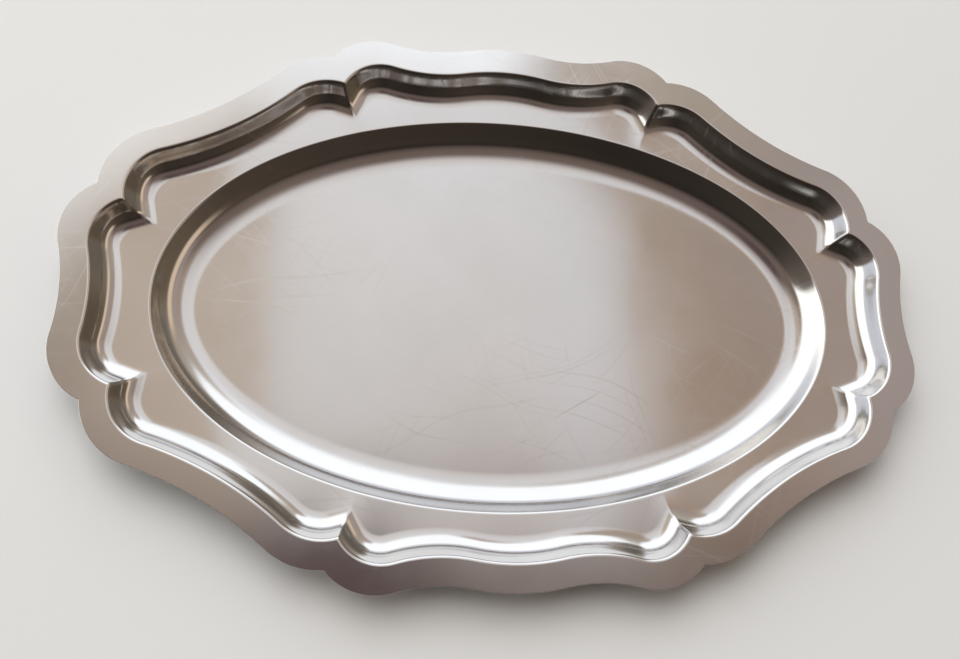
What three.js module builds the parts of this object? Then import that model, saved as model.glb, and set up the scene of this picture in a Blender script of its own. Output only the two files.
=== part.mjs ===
// Oval serving tray pressed from one sheet of stainless steel, millimetres, +Z up.
// The tray stands on the underside of its floor at z = 0, its long axis along X.
// From the cut edge inward: a flat flange, a step, a gently falling border and an oval well.

import * as THREE from 'three';

// ---- overall sizes ----
const LENGTH = 450;
const WIDTH = 292.6;
const RIM_HEIGHT = 23.1;
const SHEET = 0.8;

// ---- widths in plan, from the cut edge inward ----
const FLANGE_WIDTH = 13.3;
const STEP_RUN = 15.2;
const END_BORDER = 43;
const SIDE_BORDER = 38.6;
const WELL_RUN = 22;

// ---- section: falls from the flange, and the bends of the two pressed walls ----
const STEP_DROP = 11.4;
const BORDER_FALL = 0.3;
const FOLD_RADIUS = 2;
const WALL_RUN = 3.1;
const BORDER_SLOPE = THREE.MathUtils.degToRad(1.5);
// below this slope a cove opens out, with its radius this many times larger
const FOOT_SLOPE = THREE.MathUtils.degToRad(20);
const FOOT_SPREAD = 2;

// ---- scalloped outline ----
// Each quarter has two notches, and each notch lies between two round lobes.
// A lobe has a radius and the bearing of its centre from the notch, in degrees from the X axis,
// once at the cut edge and once at the fold where the flange ends.
const END_LOBE = { edgeRadius: 28.8, foldRadius: 23.7, edgeBearing: 244.6, foldBearing: 249 };
const SHOULDER_LOBE = { edgeRadius: 33.9, foldRadius: 25.6, edgeBearing: 182.6, foldBearing: 171.4 };
const HAUNCH_LOBE = { edgeRadius: 36.6, foldRadius: 29.2, edgeBearing: 273.5, foldBearing: 283.7 };
const SIDE_LOBE = { edgeRadius: 30.8, foldRadius: 24, edgeBearing: 217.6, foldBearing: 208.7 };
// places of the notches, as shares of the half width and the half length
const END_NOTCH_PLACE = 0.374;
const SIDE_NOTCH_PLACE = 0.418;
// how far each notch drifts towards the tray's middle for each millimetre across the flange
const END_NOTCH_DRIFT = 0.536;
const SIDE_NOTCH_DRIFT = 0.454;
// the long sides rise a little higher in their middle than at the side lobes
const CROWN_RISE = 0.5;
const CROWN_RADIUS = 111;
const END_HOLLOW_RADIUS = 107;
const DIAGONAL_HOLLOW_RADIUS = 180;
const SIDE_HOLLOW_RADIUS = 85;

// ---- derived sizes ----
const HALF_LENGTH = LENGTH / 2;
const HALF_WIDTH = WIDTH / 2;
const WELL_HALF_LENGTH = HALF_LENGTH - END_BORDER;
const WELL_HALF_WIDTH = HALF_WIDTH - SIDE_BORDER;
const WELL_EDGE_DEPTH = STEP_DROP + BORDER_FALL;
const WELL_DROP = RIM_HEIGHT - SHEET - WELL_EDGE_DEPTH;

// ---- columns of the surface in each run of a quarter, and rings in each bend ----
const COLUMNS = { endHollow: 3, lobe: 7, diagonalHollow: 4, sideHollow: 3, crown: 2 };
const FOLD_RINGS = 2;
const STEP_COVE_RINGS = 4;
const WELL_COVE_RINGS = 5;
// the rings of a cove stand closer together in slope towards its foot
const FOOT_CROWDING = 1.4;
// a straight run needs fewer columns than a bend of the same length
const STRAIGHT_WEIGHT = 0.35;

// A lobe some share of the way across the flange, hung from its notch.
function lobeAt(notch, lobe, share) {
  const r = THREE.MathUtils.lerp(lobe.edgeRadius, lobe.foldRadius, share);
  const degrees = THREE.MathUtils.lerp(lobe.edgeBearing, lobe.foldBearing, share);
  const bearing = THREE.MathUtils.degToRad(degrees);
  return { x: notch.x + r * Math.cos(bearing), y: notch.y + r * Math.sin(bearing), r };
}

// Notch beside the end of the tray: its end lobe just reaches the overall length less the inset.
function endNotch(share) {
  const inset = FLANGE_WIDTH * share;
  const reach = lobeAt({ x: 0, y: 0 }, END_LOBE, share);
  const y = END_NOTCH_PLACE * HALF_WIDTH - END_NOTCH_DRIFT * inset;
  return { x: HALF_LENGTH - inset - reach.x - reach.r, y };
}

// Notch on the long side: its side lobe just stays below the crown.
function sideNotch(share) {
  const inset = FLANGE_WIDTH * share;
  const reach = lobeAt({ x: 0, y: 0 }, SIDE_LOBE, share);
  const x = SIDE_NOTCH_PLACE * HALF_LENGTH - SIDE_NOTCH_DRIFT * inset;
  return { x, y: HALF_WIDTH - CROWN_RISE - inset - reach.y - reach.r };
}

// Centre of the hollow of radius r that touches two round pieces from outside the tray.
function hollowBetween(a, b, r) {
  const dx = b.x - a.x;
  const dy = b.y - a.y;
  const gap = Math.hypot(dx, dy);
  const along = (gap * gap + (a.r + r) ** 2 - (b.r + r) ** 2) / (2 * gap);
  const aside = Math.sqrt((a.r + r) ** 2 - along * along);
  return { x: a.x + (dx * along + dy * aside) / gap, y: a.y + (dy * along - dx * aside) / gap, r };
}

// All round pieces of a quarter contour, some share of the way across the flange.
function quarterArcs(share) {
  const notch1 = endNotch(share);
  const notch2 = sideNotch(share);
  const end = lobeAt(notch1, END_LOBE, share);
  const shoulder = lobeAt(notch1, SHOULDER_LOBE, share);
  const haunch = lobeAt(notch2, HAUNCH_LOBE, share);
  const side = lobeAt(notch2, SIDE_LOBE, share);
  const endReach = Math.sqrt((END_HOLLOW_RADIUS + end.r) ** 2 - end.y ** 2);
  const endHollow = { x: end.x + endReach, y: 0, r: END_HOLLOW_RADIUS };
  const diagonal = hollowBetween(shoulder, haunch, DIAGONAL_HOLLOW_RADIUS);
  const top = HALF_WIDTH - FLANGE_WIDTH * share;
  const crown = { x: 0, y: top - CROWN_RADIUS, r: CROWN_RADIUS };
  const sideHollow = hollowBetween(side, crown, SIDE_HOLLOW_RADIUS);
  return { notch1, notch2, end, shoulder, haunch, side, endHollow, diagonal, crown, sideHollow };
}

function bearingOf(from, to) {
  return Math.atan2(to.y - from.y, to.x - from.x);
}

// Signed angle from one bearing to another, the short way round.
function turnBetween(from, to) {
  const turn = to - from;
  return turn - 2 * Math.PI * Math.round(turn / (2 * Math.PI));
}

// Points of an arc about a centre, from one bearing to another.
function arcPoints(centre, radius, from, to, count) {
  const sweep = turnBetween(from, to);
  const points = [];
  for (let i = 0; i <= count; i += 1) {
    const a = from + (sweep * i) / count;
    points.push([centre.x + radius * Math.cos(a), centre.y + radius * Math.sin(a)]);
  }
  return points;
}

// Points of a lobe from the hollow beside it to its notch, moved inward by depth.
// Past the end of its bend the lobe runs on straight, to the ridge that leaves the notch.
function lobePoints(lobe, hollow, notch, halfTurn, depth) {
  const start = bearingOf(lobe, hollow);
  const sweep = turnBetween(start, bearingOf(lobe, notch));
  const radius = lobe.r - depth;
  const straight = depth * Math.tan(halfTurn);
  const bend = Math.abs(sweep) * radius;
  const share = bend / (bend + STRAIGHT_WEIGHT * straight);
  const points = [];
  for (let i = 0; i <= COLUMNS.lobe; i += 1) {
    const u = i / COLUMNS.lobe;
    const a = start + sweep * Math.min(u / share, 1);
    const past = u > share ? (straight * (u - share)) / (1 - share) : 0;
    const x = lobe.x + radius * Math.cos(a) - past * Math.sin(a) * Math.sign(sweep);
    const y = lobe.y + radius * Math.sin(a) + past * Math.cos(a) * Math.sign(sweep);
    points.push([x, y]);
  }
  return points;
}

// Quarter of the scalloped contour from the X axis to the Y axis: some share of the way across
// the flange, or, with a share of 1, an even depth further in than the fold.
function quarterContour(share, depth) {
  const arcs = quarterArcs(share);
  const { notch1, notch2, end, shoulder, haunch, side, endHollow, diagonal, crown, sideHollow } = arcs;
  const turn1 = Math.abs(turnBetween(bearingOf(end, notch1), bearingOf(shoulder, notch1))) / 2;
  const turn2 = Math.abs(turnBetween(bearingOf(haunch, notch2), bearingOf(side, notch2))) / 2;
  const outside = (hollow, from, to, count) => arcPoints(hollow, hollow.r + depth, from, to, count);
  const toEnd = bearingOf(endHollow, end);
  const toShoulder = bearingOf(diagonal, shoulder);
  const toHaunch = bearingOf(diagonal, haunch);
  const toSide = bearingOf(sideHollow, side);
  const toCrown = bearingOf(sideHollow, crown);
  const fromCrown = bearingOf(crown, sideHollow);
  return joined([
    outside(endHollow, Math.PI, toEnd, COLUMNS.endHollow),
    lobePoints(end, endHollow, notch1, turn1, depth),
    lobePoints(shoulder, diagonal, notch1, turn1, depth).reverse(),
    outside(diagonal, toShoulder, toHaunch, COLUMNS.diagonalHollow),
    lobePoints(haunch, diagonal, notch2, turn2, depth),
    lobePoints(side, sideHollow, notch2, turn2, depth).reverse(),
    outside(sideHollow, toSide, toCrown, COLUMNS.sideHollow),
    arcPoints(crown, crown.r - depth, fromCrown, Math.PI / 2, COLUMNS.crown),
  ]);
}

// One list of points from runs that share their end points.
function joined(runs) {
  return runs.flatMap((run, i) => (i === 0 ? run : run.slice(1)));
}

// Direction square to the well's edge, out of the well.
function wellOutward(x, y) {
  const nx = x / WELL_HALF_LENGTH ** 2;
  const ny = y / WELL_HALF_WIDTH ** 2;
  const size = Math.hypot(nx, ny);
  return [nx / size, ny / size];
}

// Nearest point of the well's edge to a point outside it, by Newton steps on the ellipse's angle.
function wellEdgePoint([x, y]) {
  const a = WELL_HALF_LENGTH;
  const b = WELL_HALF_WIDTH;
  let t = Math.atan2(y * a, x * b);
  for (let i = 0; i < 12; i += 1) {
    const c = Math.cos(t);
    const s = Math.sin(t);
    const slope = x * a * s - y * b * c - (a * a - b * b) * s * c;
    const bend = x * a * c + y * b * s - (a * a - b * b) * (c * c - s * s);
    t -= slope / bend;
  }
  return [a * Math.cos(t), b * Math.sin(t)];
}

// Quarter contour even with the well's edge, some distance inside it.
function insideWell(feet, distance) {
  return feet.map(([x, y]) => {
    const [nx, ny] = wellOutward(x, y);
    return [x - nx * distance, y - ny * distance];
  });
}

// How far a cove reaches and rises from its foot up to a slope, for a radius of 1.
function coveShape(slope, after) {
  const low = Math.min(slope, FOOT_SLOPE);
  const high = Math.max(slope, FOOT_SLOPE);
  const reach = Math.sin(high) - Math.sin(FOOT_SLOPE);
  const rise = Math.cos(FOOT_SLOPE) - Math.cos(high);
  return {
    reach: reach + FOOT_SPREAD * (Math.sin(low) - Math.sin(after)),
    rise: rise + FOOT_SPREAD * (Math.cos(after) - Math.cos(low)),
  };
}

// Radius of the cove that fills the run left over by the fold and the straight wall.
function coveRadius(run, before, wall, after) {
  const fold = FOLD_RADIUS * (Math.sin(wall) - Math.sin(before));
  return (run - WALL_RUN - fold) / coveShape(wall, after).reach;
}

// Fall of a pressed wall whose straight part has the given slope.
function wallFall(run, before, wall, after) {
  const fold = FOLD_RADIUS * (Math.cos(before) - Math.cos(wall));
  const cove = coveRadius(run, before, wall, after) * coveShape(wall, after).rise;
  return fold + WALL_RUN * Math.tan(wall) + cove;
}

// Slope that gives a pressed wall its drop, found by halving.
function wallSlope(run, drop, before, after) {
  let low = Math.max(before, after) + 0.01;
  let high = Math.PI / 2 - 0.01;
  for (let i = 0; i < 40; i += 1) {
    const middle = (low + high) / 2;
    if (wallFall(run, before, middle, after) < drop) {
      low = middle;
    } else {
      high = middle;
    }
  }
  return (low + high) / 2;
}

// Section of a pressed wall: a fold, a straight wall and a cove that fill the run and the drop.
// Each station has its distance along the run, its fall and the slope of the sheet there.
function wallSection(run, drop, before, after, coveRings) {
  const wall = wallSlope(run, drop, before, after);
  const cove = coveRadius(run, before, wall, after);
  const stations = [];
  for (let i = 0; i <= FOLD_RINGS; i += 1) {
    const slope = THREE.MathUtils.lerp(before, wall, i / FOLD_RINGS);
    const along = FOLD_RADIUS * (Math.sin(slope) - Math.sin(before));
    stations.push({ along, fall: FOLD_RADIUS * (Math.cos(before) - Math.cos(slope)), slope });
  }
  for (let i = 0; i <= coveRings; i += 1) {
    const slope = after + (wall - after) * (1 - i / coveRings) ** FOOT_CROWDING;
    const { reach, rise } = coveShape(slope, after);
    stations.push({ along: run - cove * reach, fall: drop - cove * rise, slope });
  }
  return stations;
}

// Whole closed ring at one height from a quarter contour, counterclockwise from above.
function ring(quarter, z) {
  const left = quarter.slice(0, -1).reverse().map(([x, y]) => [-x, y]);
  const half = [...quarter, ...left];
  const back = half.slice(1, -1).reverse().map(([x, y]) => [x, -y]);
  return [...half, ...back].map(([x, y]) => [x, y, z]);
}

// Rings of the upper and lower faces, from the cut edge to the edge of the floor.
// The lower face is one sheet thickness away, square to the slope at each ring.
function pressedRings() {
  const edge = quarterContour(0, 0);
  const upper = [ring(edge, RIM_HEIGHT)];
  const lower = [ring(edge, RIM_HEIGHT - SHEET)];
  for (const { along, fall, slope } of wallSection(STEP_RUN, STEP_DROP, 0, BORDER_SLOPE, STEP_COVE_RINGS)) {
    const z = RIM_HEIGHT - fall;
    upper.push(ring(quarterContour(1, along), z));
    lower.push(ring(quarterContour(1, along - SHEET * Math.sin(slope)), z - SHEET * Math.cos(slope)));
  }
  const feet = quarterContour(1, STEP_RUN).map(wellEdgePoint);
  for (const { along, fall, slope } of wallSection(WELL_RUN, WELL_DROP, BORDER_SLOPE, 0, WELL_COVE_RINGS)) {
    const z = RIM_HEIGHT - WELL_EDGE_DEPTH - fall;
    upper.push(ring(insideWell(feet, along), z));
    lower.push(ring(insideWell(feet, along - SHEET * Math.sin(slope)), z - SHEET * Math.cos(slope)));
  }
  return { upper, lower };
}

// Closed solid from the two faces, joined around the cut edge.
function pressedTray() {
  const { upper, lower } = pressedRings();
  const count = upper[0].length;
  const last = upper.length - 1;
  const lowStart = upper.length * count;
  const topMiddle = 2 * lowStart;
  const lowMiddle = topMiddle + 1;
  const positions = [...upper.flat(2), ...lower.flat(2), 0, 0, SHEET, 0, 0, 0];
  const faces = [];
  const quad = (a, b, c, d) => faces.push(a, b, c, a, c, d);
  for (let i = 0; i < count; i += 1) {
    const j = (i + 1) % count;
    quad(lowStart + i, lowStart + j, j, i);
    for (let k = 0; k < last; k += 1) {
      const top = k * count;
      const low = lowStart + k * count;
      quad(top + i, top + j, top + count + j, top + count + i);
      quad(low + count + i, low + count + j, low + j, low + i);
    }
    faces.push(last * count + i, last * count + j, topMiddle);
    faces.push(lowStart + last * count + j, lowStart + last * count + i, lowMiddle);
  }
  const geometry = new THREE.BufferGeometry();
  geometry.setAttribute('position', new THREE.Float32BufferAttribute(positions, 3));
  geometry.setIndex(faces);
  geometry.computeVertexNormals();
  return geometry;
}

const steel = new THREE.MeshStandardMaterial({ color: 0xc9c6c1, metalness: 1, roughness: 0.3 });
const tray = new THREE.Mesh(pressedTray(), steel);
tray.name = 'pressed_tray';

const group = new THREE.Group();
group.add(tray);

export default group;
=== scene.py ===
import math

import bmesh
import bpy
import numpy as np
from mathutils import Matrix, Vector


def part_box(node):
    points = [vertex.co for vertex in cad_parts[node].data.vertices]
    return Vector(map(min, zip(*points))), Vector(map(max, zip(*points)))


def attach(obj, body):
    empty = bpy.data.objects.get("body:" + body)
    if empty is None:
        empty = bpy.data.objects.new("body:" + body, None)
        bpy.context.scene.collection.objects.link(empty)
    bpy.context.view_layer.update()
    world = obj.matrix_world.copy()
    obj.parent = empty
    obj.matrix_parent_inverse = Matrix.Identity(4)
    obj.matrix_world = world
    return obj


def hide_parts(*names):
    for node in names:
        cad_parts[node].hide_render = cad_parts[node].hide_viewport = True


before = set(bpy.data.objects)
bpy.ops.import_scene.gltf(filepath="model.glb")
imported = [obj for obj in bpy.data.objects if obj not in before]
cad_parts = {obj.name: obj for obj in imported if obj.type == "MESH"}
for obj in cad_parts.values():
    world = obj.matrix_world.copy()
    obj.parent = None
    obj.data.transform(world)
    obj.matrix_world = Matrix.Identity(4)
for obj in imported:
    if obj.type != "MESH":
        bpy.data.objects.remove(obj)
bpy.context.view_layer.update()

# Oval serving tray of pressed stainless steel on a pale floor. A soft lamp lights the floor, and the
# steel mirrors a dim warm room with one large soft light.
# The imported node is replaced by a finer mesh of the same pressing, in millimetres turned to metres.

MM = 0.001
NODE = "pressed_tray"

# ---- overall sizes, from the frame ----
low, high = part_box(NODE)
LENGTH, WIDTH, RIM_HEIGHT = (round(side / MM, 1) for side in high - low)

# ---- sizes of the pressing, millimetres, as in the CAD model ----
SHEET = 0.8
FLANGE_WIDTH = 13.3
STEP_RUN = 15.2
END_BORDER = 43.0
SIDE_BORDER = 38.6
WELL_RUN = 22.0
STEP_DROP = 11.4
BORDER_FALL = 0.3
FOLD_RADIUS = 2.0
WALL_RUN = 3.1
EDGE_RADIUS = 0.2
# below this slope a cove opens out, with its radius this many times larger
FOOT_SLOPE = math.radians(20)
FOOT_SPREAD = 2.0

# A lobe has a radius and the bearing of its centre from its notch, at the cut edge and at the fold.
END_LOBE = dict(radius=(28.8, 23.7), bearing=(244.6, 249.0))
SHOULDER_LOBE = dict(radius=(33.9, 25.6), bearing=(182.6, 171.4))
HAUNCH_LOBE = dict(radius=(36.6, 29.2), bearing=(273.5, 283.7))
SIDE_LOBE = dict(radius=(30.8, 24.0), bearing=(217.6, 208.7))
END_NOTCH_PLACE = 0.374
SIDE_NOTCH_PLACE = 0.418
END_NOTCH_DRIFT = 0.536
SIDE_NOTCH_DRIFT = 0.454
CROWN_RISE = 0.5
CROWN_RADIUS = 111.0
END_HOLLOW_RADIUS = 107.0
DIAGONAL_HOLLOW_RADIUS = 180.0
SIDE_HOLLOW_RADIUS = 85.0

HALF_LENGTH = LENGTH / 2
HALF_WIDTH = WIDTH / 2
WELL_HALF_LENGTH = HALF_LENGTH - END_BORDER
WELL_HALF_WIDTH = HALF_WIDTH - SIDE_BORDER
WELL_DROP = RIM_HEIGHT - SHEET - STEP_DROP - BORDER_FALL

# ---- how finely the surface is divided ----
COLUMNS = dict(end_hollow=10, lobe=26, diagonal_hollow=20, side_hollow=12, crown=8)
STRAIGHT_WEIGHT = 0.6
EDGE_RINGS, FOLD_RINGS, WALL_RINGS, COVE_RINGS = 3, 6, 3, 13
# the rings of a cove stand closer together in slope towards its foot
FOOT_CROWDING = 1.3
NEWTON_STEPS = 12
HALVINGS = 40
# radians that keep a solved slope inside its limits, and a length that keeps a share off division by 0
SLOPE_MARGIN = 0.01
TINY = 1e-9
# shares of the way across the flat runs: a ring close to each end keeps the bends crisp
FLANGE_SHARES = (0.02, 0.25, 0.5, 0.75, 0.98)
BORDER_SHARES = (0.03, 0.25, 0.5, 0.75, 0.97)
FLOOR_SHARES = (0.99, 0.85, 0.6, 0.35, 0.15)

# ---- camera, lamp and floor, metres, degrees and watts; the lens in millimetres ----
CAMERA_PLACE = (-0.1104, -0.1550, 0.5126)
CAMERA_TURN = (15.892, -10.406, -1.294)
CAMERA_LENS = 38.05
LAMP_PLACE = (-0.5, 0.7, 1.6)
LAMP_TURN = (-25, -18, 0)
LAMP_SIZE = 1.6
LAMP_POWER = 14
FLOOR_RADIUS = 6
FLOOR_CORNERS = 96


def lobe_at(notch, lobe, share):
    """Centre and radius of a lobe some share of the way across the flange."""
    radius = np.interp(share, (0, 1), lobe["radius"])
    bearing = math.radians(np.interp(share, (0, 1), lobe["bearing"]))
    return notch[0] + radius * math.cos(bearing), notch[1] + radius * math.sin(bearing), radius


def end_notch(share):
    """The notch near the end of the tray, some share of the way across the flange."""
    inset = FLANGE_WIDTH * share
    x, _, radius = lobe_at((0, 0), END_LOBE, share)
    return HALF_LENGTH - inset - x - radius, END_NOTCH_PLACE * HALF_WIDTH - END_NOTCH_DRIFT * inset


def side_notch(share):
    """The notch on the tray's long side, some share of the way across the flange."""
    inset = FLANGE_WIDTH * share
    _, y, radius = lobe_at((0, 0), SIDE_LOBE, share)
    x = SIDE_NOTCH_PLACE * HALF_LENGTH - SIDE_NOTCH_DRIFT * inset
    return x, HALF_WIDTH - CROWN_RISE - inset - y - radius


def hollow_between(a, b, radius):
    """The hollow that touches two round pieces from outside the tray."""
    dx, dy = b[0] - a[0], b[1] - a[1]
    gap = math.hypot(dx, dy)
    along = (gap**2 + (a[2] + radius) ** 2 - (b[2] + radius) ** 2) / (2 * gap)
    aside = math.sqrt((a[2] + radius) ** 2 - along**2)
    x = a[0] + (dx * along + dy * aside) / gap
    y = a[1] + (dy * along - dx * aside) / gap
    return x, y, radius


def bearing_of(a, b):
    return math.atan2(b[1] - a[1], b[0] - a[0])


def turn_between(start, end):
    """The shorter turn from one bearing to another."""
    turn = end - start
    return turn - 2 * math.pi * round(turn / (2 * math.pi))


def arc_points(centre, radius, start, end, count):
    """Points of an arc from one bearing to another, without its last point."""
    angle = start + turn_between(start, end) * np.arange(count) / count
    return np.column_stack([centre[0] + radius * np.cos(angle), centre[1] + radius * np.sin(angle)])


def lobe_points(lobe, hollow, notch, half_turn, depth, to_notch):
    """Points of a lobe between its hollow and its notch, moved inward by depth.
    Past its bend the lobe runs on straight, to the ridge that leaves the notch."""
    count = COLUMNS["lobe"]
    steps = np.arange(count) if to_notch else np.arange(count, 0, -1)
    start = bearing_of(lobe, hollow)
    sweep = turn_between(start, bearing_of(lobe, notch))
    radius = lobe[2] - depth
    straight = depth * math.tan(half_turn)
    bend = abs(sweep) * radius
    share = bend / (bend + STRAIGHT_WEIGHT * straight)
    u = steps / count
    angle = start + sweep * np.minimum(u / share, 1)
    past = straight * np.maximum(u - share, 0) / max(1 - share, TINY)
    side = math.copysign(1, sweep)
    x = lobe[0] + radius * np.cos(angle) - side * past * np.sin(angle)
    y = lobe[1] + radius * np.sin(angle) + side * past * np.cos(angle)
    return np.column_stack([x, y])


def quarter_contour(share, depth):
    """A quarter of the scalloped contour, from the X axis to the Y axis."""
    notch1, notch2 = end_notch(share), side_notch(share)
    end, shoulder = lobe_at(notch1, END_LOBE, share), lobe_at(notch1, SHOULDER_LOBE, share)
    haunch, side = lobe_at(notch2, HAUNCH_LOBE, share), lobe_at(notch2, SIDE_LOBE, share)
    reach = math.sqrt((END_HOLLOW_RADIUS + end[2]) ** 2 - end[1] ** 2)
    end_hollow = (end[0] + reach, 0, END_HOLLOW_RADIUS)
    diagonal = hollow_between(shoulder, haunch, DIAGONAL_HOLLOW_RADIUS)
    crown = (0, HALF_WIDTH - FLANGE_WIDTH * share - CROWN_RADIUS, CROWN_RADIUS)
    side_hollow = hollow_between(side, crown, SIDE_HOLLOW_RADIUS)
    turn1 = abs(turn_between(bearing_of(end, notch1), bearing_of(shoulder, notch1))) / 2
    turn2 = abs(turn_between(bearing_of(haunch, notch2), bearing_of(side, notch2))) / 2

    def outside(hollow, start, finish, count):
        return arc_points(hollow, hollow[2] + depth, start, finish, COLUMNS[count])

    top = np.array([[0, crown[1] + crown[2] - depth]])
    crown_start = bearing_of(crown, side_hollow)
    return np.vstack([
        outside(end_hollow, math.pi, bearing_of(end_hollow, end), "end_hollow"),
        lobe_points(end, end_hollow, notch1, turn1, depth, True),
        lobe_points(shoulder, diagonal, notch1, turn1, depth, False),
        outside(diagonal, bearing_of(diagonal, shoulder), bearing_of(diagonal, haunch), "diagonal_hollow"),
        lobe_points(haunch, diagonal, notch2, turn2, depth, True),
        lobe_points(side, side_hollow, notch2, turn2, depth, False),
        outside(side_hollow, bearing_of(side_hollow, side), bearing_of(side_hollow, crown), "side_hollow"),
        arc_points(crown, crown[2] - depth, crown_start, math.pi / 2, COLUMNS["crown"]),
        top,
    ])


def well_outward(points):
    """Directions square to the well's edge, out of the well."""
    normal = points / np.array([WELL_HALF_LENGTH**2, WELL_HALF_WIDTH**2])
    return normal / np.linalg.norm(normal, axis=1, keepdims=True)


def well_edge_points(points):
    """Nearest points of the well's elliptical edge, by Newton steps on the ellipse's angle."""
    a, b = WELL_HALF_LENGTH, WELL_HALF_WIDTH
    x, y = points[:, 0], points[:, 1]
    t = np.arctan2(y * a, x * b)
    for _ in range(NEWTON_STEPS):
        c, s = np.cos(t), np.sin(t)
        slope = x * a * s - y * b * c - (a * a - b * b) * s * c
        bend = x * a * c + y * b * s - (a * a - b * b) * (c * c - s * s)
        t = t - slope / bend
    return np.column_stack([a * np.cos(t), b * np.sin(t)])


def cove_shape(slope, after):
    """How far a cove reaches and rises from its foot up to a slope, for a radius of 1."""
    low, high = np.minimum(slope, FOOT_SLOPE), np.maximum(slope, FOOT_SLOPE)
    reach = np.sin(high) - math.sin(FOOT_SLOPE) + FOOT_SPREAD * (np.sin(low) - np.sin(after))
    rise = math.cos(FOOT_SLOPE) - np.cos(high) + FOOT_SPREAD * (np.cos(after) - np.cos(low))
    return reach, rise


def cove_radius(run, before, wall, after):
    """Radius of the cove that fills the run left over by the fold and the straight wall."""
    fold = FOLD_RADIUS * (np.sin(wall) - np.sin(before))
    return (run - WALL_RUN - fold) / cove_shape(wall, after)[0]


def wall_slope(run, drop, before, after):
    """Slope that gives a pressed wall its drop, found by halving, one for each column."""
    low = np.maximum(before, after) + SLOPE_MARGIN
    high = np.full_like(low, math.pi / 2 - SLOPE_MARGIN)
    for _ in range(HALVINGS):
        wall = (low + high) / 2
        fall = FOLD_RADIUS * (np.cos(before) - np.cos(wall)) + WALL_RUN * np.tan(wall)
        fall = fall + cove_radius(run, before, wall, after) * cove_shape(wall, after)[1]
        low = np.where(fall < drop, wall, low)
        high = np.where(fall < drop, high, wall)
    return (low + high) / 2


def wall_section(run, drop, before, after):
    """Stations of a pressed wall: distance along the run, fall and slope, one value per column."""
    wall = wall_slope(run, drop, before, after)
    cove = cove_radius(run, before, wall, after)
    stations = []
    for i in range(FOLD_RINGS + 1):
        slope = before + (wall - before) * i / FOLD_RINGS
        stations.append((FOLD_RADIUS * (np.sin(slope) - np.sin(before)),
                         FOLD_RADIUS * (np.cos(before) - np.cos(slope)), slope))
    start_along, start_fall, _ = stations[-1]
    for i in range(1, WALL_RINGS):
        along = start_along + WALL_RUN * i / WALL_RINGS
        stations.append((along, start_fall + WALL_RUN * np.tan(wall) * i / WALL_RINGS, wall))
    for i in range(COVE_RINGS + 1):
        slope = after + (wall - after) * (1 - i / COVE_RINGS) ** FOOT_CROWDING
        reach, rise = cove_shape(slope, after)
        stations.append((run - cove * reach, drop - cove * rise, slope))
    return stations


# ---- the tray's mesh ----

def whole_ring(quarter, z):
    """A closed ring from its first quarter, with one height or a height for each of its points."""
    heights = np.broadcast_to(np.asarray(z, float), len(quarter))
    points = np.column_stack([quarter, heights])
    half = np.vstack([points, points[-2::-1] * [-1, 1, 1]])
    return np.vstack([half, half[-2:0:-1] * [1, -1, 1]])


def inside_fold(depth):
    """The contour inside the fold, at a depth that may differ a little from column to column."""
    nearest, farthest = float(np.min(depth)), float(np.max(depth))
    near, far = quarter_contour(1, nearest), quarter_contour(1, farthest)
    share = (depth - nearest) / max(farthest - nearest, TINY)
    return near + (far - near) * share[:, None]


def inside_well(feet, distance):
    """The points at some distance inside the well's edge, one distance for each point."""
    return feet - well_outward(feet) * distance[:, None]


def edge_rings():
    """The cut edge, rounded a little above and below."""
    rings = []
    for quarter_turn in range(EDGE_RINGS + 1):
        a = math.pi / 2 * quarter_turn / EDGE_RINGS
        contour = quarter_contour(EDGE_RADIUS * (1 - math.sin(a)) / FLANGE_WIDTH, 0)
        rings.append((contour, EDGE_RADIUS * (1 - math.cos(a))))
    upper = [whole_ring(contour, RIM_HEIGHT - fall) for contour, fall in rings]
    lower = [whole_ring(contour, RIM_HEIGHT - SHEET + fall) for contour, fall in reversed(rings)]
    return upper + lower


def face_rings(below):
    """Rings of one face from the flange to the middle of the floor, a distance below the top face.
    Each ring of the lower face lies square to the slope under its ring of the top face."""
    step_end = quarter_contour(1, STEP_RUN)
    feet = well_edge_points(step_end)
    border_run = np.linalg.norm(step_end - feet, axis=1)
    border = np.arctan(BORDER_FALL / border_run)
    flat = np.zeros_like(border)
    rings = []
    for share in FLANGE_SHARES:
        rings.append(whole_ring(quarter_contour(share, 0), RIM_HEIGHT - below))
    for along, fall, slope in wall_section(STEP_RUN, STEP_DROP, flat, border):
        contour = inside_fold(along - below * np.sin(slope))
        rings.append(whole_ring(contour, RIM_HEIGHT - fall - below * np.cos(slope)))
    out = well_outward(feet)
    for share in BORDER_SHARES:
        contour = step_end + (feet - step_end) * share + out * (below * np.sin(border))[:, None]
        fall = STEP_DROP + BORDER_FALL * share
        rings.append(whole_ring(contour, RIM_HEIGHT - fall - below * np.cos(border)))
    edge = RIM_HEIGHT - STEP_DROP - BORDER_FALL
    for along, fall, slope in wall_section(WELL_RUN, WELL_DROP, border, flat):
        contour = inside_well(feet, along - below * np.sin(slope))
        rings.append(whole_ring(contour, edge - fall - below * np.cos(slope)))
    floor_edge = inside_well(feet, np.full(len(feet), WELL_RUN))
    for share in FLOOR_SHARES:
        rings.append(whole_ring(floor_edge * share, SHEET - below))
    return rings


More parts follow.
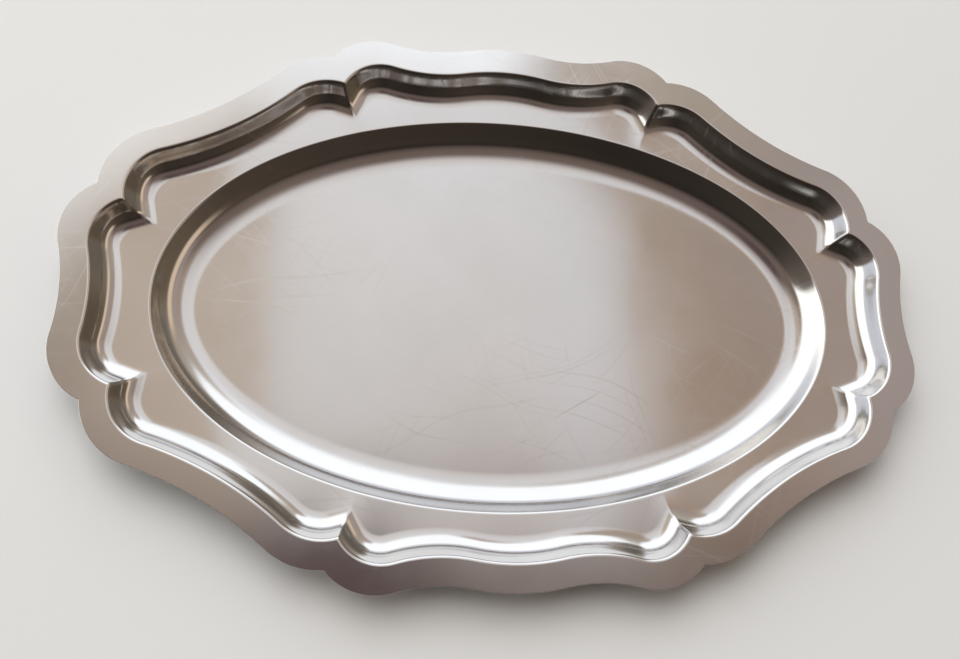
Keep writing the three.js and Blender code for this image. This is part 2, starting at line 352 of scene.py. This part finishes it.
def tray_mesh():
    """One closed mesh: top face, cut edge and lower face, each ring joined to the next."""
    rings = face_rings(0)[::-1] + edge_rings() + face_rings(SHEET)
    count = len(rings[0])
    middles = [[0, 0, SHEET], [0, 0, 0]]
    points = np.vstack(rings + [middles]) * MM
    faces = []
    for k in range(len(rings) - 1):
        for i in range(count):
            j = (i + 1) % count
            faces.append((k * count + i, (k + 1) * count + i, (k + 1) * count + j, k * count + j))
    top_middle = len(rings) * count
    last = (len(rings) - 1) * count
    for i in range(count):
        j = (i + 1) % count
        faces.append((i, j, top_middle))
        faces.append((last + j, last + i, top_middle + 1))
    mesh = bpy.data.meshes.new("tray")
    mesh.from_pydata([tuple(p) for p in points], [], faces)
    shaper = bmesh.new()
    shaper.from_mesh(mesh)
    bmesh.ops.recalc_face_normals(shaper, faces=shaper.faces)
    for face in shaper.faces:
        face.smooth = True
    shaper.to_mesh(mesh)
    shaper.free()
    return mesh


# ---- node helpers ----

class Nodes:
    """Builds a node tree from short calls: numbers, sockets and colours can all be inputs."""

    def __init__(self, tree):
        self.tree = tree
        tree.nodes.clear()

    def add(self, kind, settings=None, **inputs):
        node = self.tree.nodes.new(kind)
        for name, value in (settings or {}).items():
            setattr(node, name, value)
        for name, value in inputs.items():
            self.feed(node.inputs[name.replace("_", " ")], value)
        return node

    def feed(self, socket, value):
        if isinstance(value, bpy.types.NodeSocket):
            self.tree.links.new(value, socket)
        else:
            socket.default_value = value

    def math(self, operation, *values):
        node = self.tree.nodes.new("ShaderNodeMath")
        node.operation = operation
        for socket, value in zip(node.inputs, values):
            self.feed(socket, value)
        return node.outputs[0]

    def ramp(self, value, start, end, low=0.0, high=1.0):
        """low before start, high after end, and a smooth change between."""
        settings = {"interpolation_type": "SMOOTHSTEP"}
        node = self.add("ShaderNodeMapRange", settings, Value=value)
        for name, number in (("From Min", start), ("From Max", end), ("To Min", low), ("To Max", high)):
            node.inputs[name].default_value = number
        return node.outputs["Result"]

    def mix(self, share, a, b):
        """Colour mix."""
        node = self.add("ShaderNodeMix", {"data_type": "RGBA"})
        self.feed(node.inputs[0], share)
        self.feed(node.inputs[6], a)
        self.feed(node.inputs[7], b)
        return node.outputs[2]

    def noise(self, vector, scale, detail=2.0, roughness=0.5):
        node = self.add("ShaderNodeTexNoise", Vector=vector, Scale=scale, Detail=detail, Roughness=roughness)
        return node.outputs["Fac"]


# ---- steel ----

# the darker and the lighter tone, the smoother and the duller polish, and what a scratch adds to it
STEEL_TONES = ((0.68, 0.665, 0.645, 1), (0.72, 0.705, 0.69, 1))
STEEL_ROUGHNESS = (0.10, 0.14)
SCRATCH_ROUGHNESS = 0.11
# heights in metres of the sheet's slow swell and of a scratch
SWELL_HEIGHT = 0.00022
SCRATCH_DEPTH = 0.000001
# how far the scratches wander in metres, and how softly their sides fade
SCRATCH_WANDER = 0.09
SCRATCH_SOFTNESS = 0.10
# hairline scratches: heading in degrees, cells of noise per metre along and across the heading,
# the level of noise where a scratch starts, and its strength
SCRATCHES = (
    (24, 12, 800, 0.70, 0.5),
    (-14, 10, 700, 0.70, 0.5),
    (63, 14, 750, 0.71, 0.5),
    (-52, 18, 1000, 0.70, 0.5),
    (12, 16, 520, 0.75, 0.8),
    (-38, 20, 560, 0.76, 0.8),
)


def scratches(n, place):
    """Fine bent lines in a few headings, here and there, from 0 on clean steel to 1."""
    wander = n.add("ShaderNodeTexNoise", Vector=place, Scale=7.0, Detail=1.5)
    bend = n.add("ShaderNodeVectorMath", {"operation": "SCALE"})
    n.feed(bend.inputs[0], wander.outputs["Color"])
    n.feed(bend.inputs["Scale"], SCRATCH_WANDER)
    bent = n.add("ShaderNodeVectorMath", {"operation": "ADD"})
    n.feed(bent.inputs[0], place)
    n.feed(bent.inputs[1], bend.outputs[0])
    total = 0.0
    for heading, along, across, level, strength in SCRATCHES:
        turn = n.add("ShaderNodeMapping", Vector=bent.outputs[0])
        turn.inputs["Rotation"].default_value = (0, 0, math.radians(heading))
        squeeze = n.add("ShaderNodeMapping", Vector=turn.outputs[0])
        squeeze.inputs["Scale"].default_value = (along, across, along)
        squeeze.inputs["Location"].default_value = (heading, level, 0)
        grain = n.noise(squeeze.outputs[0], 1.0, 0.0)
        streak = n.ramp(grain, level, level + SCRATCH_SOFTNESS, 0.0, strength)
        total = n.math("ADD", total, streak)
    patches = n.ramp(n.noise(place, 9.0, 1.0), 0.40, 0.62, 0.15, 1.0)
    return n.math("MULTIPLY", n.math("MINIMUM", total, 1.0), patches)


def steel():
    """Softly shining steel, a little smudged and scratched."""
    material = bpy.data.materials.new("polished_steel")
    material.use_nodes = True
    n = Nodes(material.node_tree)
    place = n.add("ShaderNodeTexCoord").outputs["Object"]
    marks = scratches(n, place)
    smudge = n.noise(place, 16.0, 4.0, 0.6)
    tone = n.mix(n.ramp(smudge, 0.3, 0.7), *STEEL_TONES)
    polish = n.ramp(smudge, 0.3, 0.75, *STEEL_ROUGHNESS)
    roughness = n.math("ADD", polish, n.math("MULTIPLY", marks, SCRATCH_ROUGHNESS))
    swell = n.math("MULTIPLY", n.noise(place, 14.0, 1.0), SWELL_HEIGHT)
    height = n.math("SUBTRACT", swell, n.math("MULTIPLY", marks, SCRATCH_DEPTH))
    bump = n.add("ShaderNodeBump", Height=height, Strength=1.0, Distance=1.0)
    shader = n.add("ShaderNodeBsdfPrincipled", Base_Color=tone, Roughness=roughness, Metallic=1.0)
    n.feed(shader.inputs["Normal"], bump.outputs[0])
    output = n.add("ShaderNodeOutputMaterial")
    n.feed(output.inputs["Surface"], shader.outputs[0])
    return material


# ---- floor ----

FLOOR_TONES = ((0.80, 0.80, 0.79, 1), (0.84, 0.84, 0.83, 1))
FLOOR_ROUGHNESS = 0.75


def pale_floor():
    """A plain matt floor."""
    material = bpy.data.materials.new("pale_floor")
    material.use_nodes = True
    n = Nodes(material.node_tree)
    place = n.add("ShaderNodeTexCoord").outputs["Object"]
    tone = n.mix(n.noise(place, 3.0), *FLOOR_TONES)
    shader = n.add("ShaderNodeBsdfPrincipled", Base_Color=tone, Roughness=FLOOR_ROUGHNESS)
    output = n.add("ShaderNodeOutputMaterial")
    n.feed(output.inputs["Surface"], shader.outputs[0])
    bpy.ops.mesh.primitive_circle_add(vertices=FLOOR_CORNERS, radius=FLOOR_RADIUS, fill_type="NGON")
    floor = bpy.context.object
    floor.name = "floor"
    floor.data.materials.append(material)


# ---- the room around the tray ----
# Bearings are in degrees from +Y towards +X, and heights in degrees above the floor.

# how bright and how warm the walls are, by bearing
WALLS = (
    (-180, (0.030, 0.024, 0.019)),
    (-130, (0.055, 0.045, 0.036)),
    (-102, (0.17, 0.14, 0.12)),
    (0, (0.60, 0.56, 0.52)),
    (34, (0.58, 0.52, 0.46)),
    (52, (0.40, 0.34, 0.27)),
    (78, (0.16, 0.125, 0.085)),
    (108, (0.14, 0.105, 0.075)),
    (130, (0.075, 0.056, 0.042)),
    (180, (0.030, 0.024, 0.019)),
)
LAMPLIT_WALL = (0.86, 0.68, 0.53, 1)
CORNICE = (0.47, 0.43, 0.45, 1)
LOW_WALL = (0.20, 0.175, 0.15, 1)
# heights over which the walls turn into the ceiling
CEILING_START = (46, 66)
BACKDROP = (0.72, 0.72, 0.71, 1)

# the large soft light: its two sides near its foot, its foot and top with their fading, and its colours
LIGHT_BEARINGS = (-97, 22)
LIGHT_SIDE_FADE = 3
LIGHT_FOOT = (2, 8)
LIGHT_TOP = (60, 70)
LIGHT_LEFT = (1.65, 1.65, 1.60, 1)
LIGHT_RIGHT = (1.42, 1.48, 1.56, 1)
LIGHT_LOW = (0.80, 0.83, 0.92, 1)
# degrees by which its top is lower on the right, its foot is lower on the left and its right side is wider
TOP_SLANT = 5.5
FOOT_SLANT = 8.0
SIDE_BULGE = 12.0

# the ceiling: colours of its left and right parts from left to right, and of its pale panel going away,
# on the left and in a band
LEFT_CEILING = ((0.40, 0.33, 0.27, 1), (0.63, 0.53, 0.445, 1))
RIGHT_CEILING = ((0.52, 0.41, 0.33, 1), (0.43, 0.325, 0.255, 1))
PANEL_NEAR = (0.72, 0.67, 0.65, 1)
PANEL_MIDDLE = (0.86, 0.835, 0.84, 1)
PANEL_FAR = (0.95, 0.955, 1.0, 1)
PANEL_LEFT = (0.93, 0.92, 0.92, 1)
PANEL_BLUE_BAND = (0.86, 0.87, 0.94, 1)
# and on this side of the zenith: far from it, close to it, and a dark spot about it
BEHIND_FAR = (0.030, 0.024, 0.019, 1)
BEHIND_CLOSE = (0.20, 0.15, 0.13, 1)
DARK_SPOT = (0.11, 0.075, 0.075, 1)
SPOT_ACROSS = 0.04
SPOT_RADII = (0.05, 0.17)


def between(n, value, start, end, soft):
    """1 from start to end, fading to 0 over a soft margin."""
    rise = n.ramp(value, start - soft, start + soft)
    fall = n.ramp(value, end - soft, end + soft, 1.0, 0.0)
    return n.math("MULTIPLY", rise, fall)


def panel_colour(n, across, beyond):
    """The pale panel, brighter and cooler going away, lighter on its left, with a faint blue band."""
    colour = n.mix(n.ramp(beyond, 0.10, 0.34), PANEL_NEAR, PANEL_MIDDLE)
    colour = n.mix(n.ramp(beyond, 0.30, 0.54), colour, PANEL_FAR)
    colour = n.mix(n.ramp(across, 0.04, 0.20, 0.4, 0.0), colour, PANEL_LEFT)
    blue_band = n.math("MULTIPLY", between(n, across, 0.27, 0.33, 0.02), 0.5)
    return n.mix(blue_band, colour, PANEL_BLUE_BAND)


def panel_share(n, across, beyond):
    """1 on the pale panel. Its right side leans a little, and more so far away."""
    slanted = n.math("MULTIPLY_ADD", beyond, 0.10, across)
    slanted = n.math("ADD", slanted, n.ramp(beyond, 0.44, 0.52, 0.0, 0.05))
    return n.math("MULTIPLY", n.ramp(across, -0.037, -0.015), n.ramp(slanted, 0.376, 0.397, 1.0, 0.0))


def overhead(n, across, beyond):
    """The ceiling: dark on this side of the zenith, beige beyond it, with a pale panel in the middle.
    A place on it is given across and beyond the zenith, as shares of the ceiling's height."""
    left = n.mix(n.ramp(across, -0.24, -0.14), *LEFT_CEILING)
    right = n.mix(n.ramp(across, 0.34, 0.50), *RIGHT_CEILING)
    sides = n.mix(n.ramp(across, 0.1, 0.2), left, right)
    beyond_zenith = n.mix(panel_share(n, across, beyond), sides, panel_colour(n, across, beyond))
    behind = n.mix(n.ramp(beyond, -0.5, -0.05), BEHIND_FAR, BEHIND_CLOSE)
    nearer = n.math("ADD", beyond, n.ramp(across, -0.16, 0.0, -0.045, 0.0))
    whole = n.mix(n.ramp(nearer, -0.03, 0.20), behind, beyond_zenith)
    away = n.add("ShaderNodeCombineXYZ", X=n.math("SUBTRACT", across, SPOT_ACROSS), Y=beyond)
    spread = n.add("ShaderNodeVectorMath", {"operation": "LENGTH"})
    n.feed(spread.inputs[0], away.outputs[0])
    return n.mix(n.ramp(spread.outputs["Value"], *SPOT_RADII), DARK_SPOT, whole)


def wall_colour(n, bearing):
    """The walls' own colour, read from WALLS around the whole turn."""
    walls = n.add("ShaderNodeValToRGB", Fac=n.math("MULTIPLY_ADD", bearing, 1 / 360, 0.5))
    stops = walls.color_ramp.elements
    for degrees, _ in WALLS[1:-1]:
        stops.new(degrees / 360 + 0.5)
    for stop, (degrees, colour) in zip(stops, WALLS):
        stop.position = degrees / 360 + 0.5
        stop.color = (*colour, 1)
    return walls.outputs[0]


def room_colour(n, bearing, height, ceiling):
    """The walls up to the ceiling: a lamplit stretch and a cornice to the right, a low dark wall beyond."""
    lamplit = n.math("MULTIPLY", between(n, bearing, 52, 114, 8), between(n, height, 33, 48, 4))
    room = n.mix(lamplit, wall_colour(n, bearing), LAMPLIT_WALL)
    cornice = n.math("MULTIPLY", between(n, bearing, 46, 100, 8), between(n, height, 51, 62, 3))
    room = n.mix(cornice, room, CORNICE)
    low_wall = n.math("MULTIPLY", between(n, bearing, 26, 66, 6), n.ramp(height, 16, 32, 1.0, 0.0))
    room = n.mix(low_wall, room, LOW_WALL)
    return n.mix(n.ramp(height, *CEILING_START), room, ceiling)


def light_colour(n, bearing, height):
    """The soft light's glow, weaker and bluer near its foot."""
    glow = n.mix(n.ramp(bearing, -60, 10), LIGHT_LEFT, LIGHT_RIGHT)
    return n.mix(n.ramp(height, 10, 20), LIGHT_LOW, glow)


def light_share(n, bearing, height):
    """1 on the soft light, fading out at its four sides."""
    top = n.math("ADD", height, n.ramp(bearing, -40, 10, 0.0, TOP_SLANT))
    foot = n.math("ADD", height, n.ramp(bearing, -75, -55, FOOT_SLANT, 0.0))
    wider = n.math("MULTIPLY", n.ramp(height, 14, 36, 0.0, SIDE_BULGE), n.ramp(height, 47, 55, 1.0, 0.0))
    side = n.math("SUBTRACT", bearing, wider)
    start, end = LIGHT_BEARINGS
    lit = n.math("MULTIPLY", n.ramp(foot, *LIGHT_FOOT), n.ramp(top, *LIGHT_TOP, 1.0, 0.0))
    lit = n.math("MULTIPLY", lit, n.ramp(bearing, start - LIGHT_SIDE_FADE, start + LIGHT_SIDE_FADE))
    return n.math("MULTIPLY", lit, n.ramp(side, end - LIGHT_SIDE_FADE, end + LIGHT_SIDE_FADE, 1.0, 0.0))


def studio():
    """A dim warm room with one large soft light beyond the tray, and a pale plain backdrop."""
    world = bpy.data.worlds.new("studio")
    bpy.context.scene.world = world
    world.use_nodes = True
    n = Nodes(world.node_tree)
    way = n.add("ShaderNodeSeparateXYZ", Vector=n.add("ShaderNodeTexCoord").outputs["Generated"])
    x, y, z = way.outputs
    bearing = n.math("DEGREES", n.math("ARCTAN2", x, y))
    height = n.math("DEGREES", n.math("ARCSINE", z))
    up = n.math("MAXIMUM", z, 0.05)
    ceiling = overhead(n, n.math("DIVIDE", x, up), n.math("DIVIDE", y, up))
    room = room_colour(n, bearing, height, ceiling)
    sky = n.mix(light_share(n, bearing, height), room, light_colour(n, bearing, height))
    seen = n.add("ShaderNodeLightPath").outputs["Is Camera Ray"]
    sky = n.mix(seen, sky, BACKDROP)
    shader = n.add("ShaderNodeBackground", Color=sky, Strength=1.0)
    output = n.add("ShaderNodeOutputWorld")
    n.feed(output.inputs["Surface"], shader.outputs[0])


# ---- lamp and camera ----

def soft_light():
    """A broad lamp overhead that lights the floor but isn't mirrored in the steel."""
    data = bpy.data.lights.new("overhead", "AREA")
    data.shape = "DISK"
    data.size = LAMP_SIZE
    data.energy = LAMP_POWER
    lamp = bpy.data.objects.new("overhead", data)
    lamp.location = LAMP_PLACE
    lamp.rotation_euler = [math.radians(a) for a in LAMP_TURN]
    lamp.visible_glossy = False
    bpy.context.scene.collection.objects.link(lamp)


def camera():
    """Looks down over the tray from a little to the left of its near side."""
    data = bpy.data.cameras.new("camera")
    data.sensor_width = 36
    data.lens = CAMERA_LENS
    view = bpy.data.objects.new("camera", data)
    view.location = CAMERA_PLACE
    view.rotation_euler = [math.radians(a) for a in CAMERA_TURN]
    bpy.context.scene.collection.objects.link(view)
    bpy.context.scene.camera = view


studio()
soft_light()
camera()
pale_floor()
tray = bpy.data.objects.new("steel_tray", tray_mesh())
bpy.context.scene.collection.objects.link(tray)
tray.data.materials.append(steel())
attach(tray, "root")
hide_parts(NODE)
bpy.context.scene.view_settings.view_transform = "Standard"
bpy.context.view_layer.update()
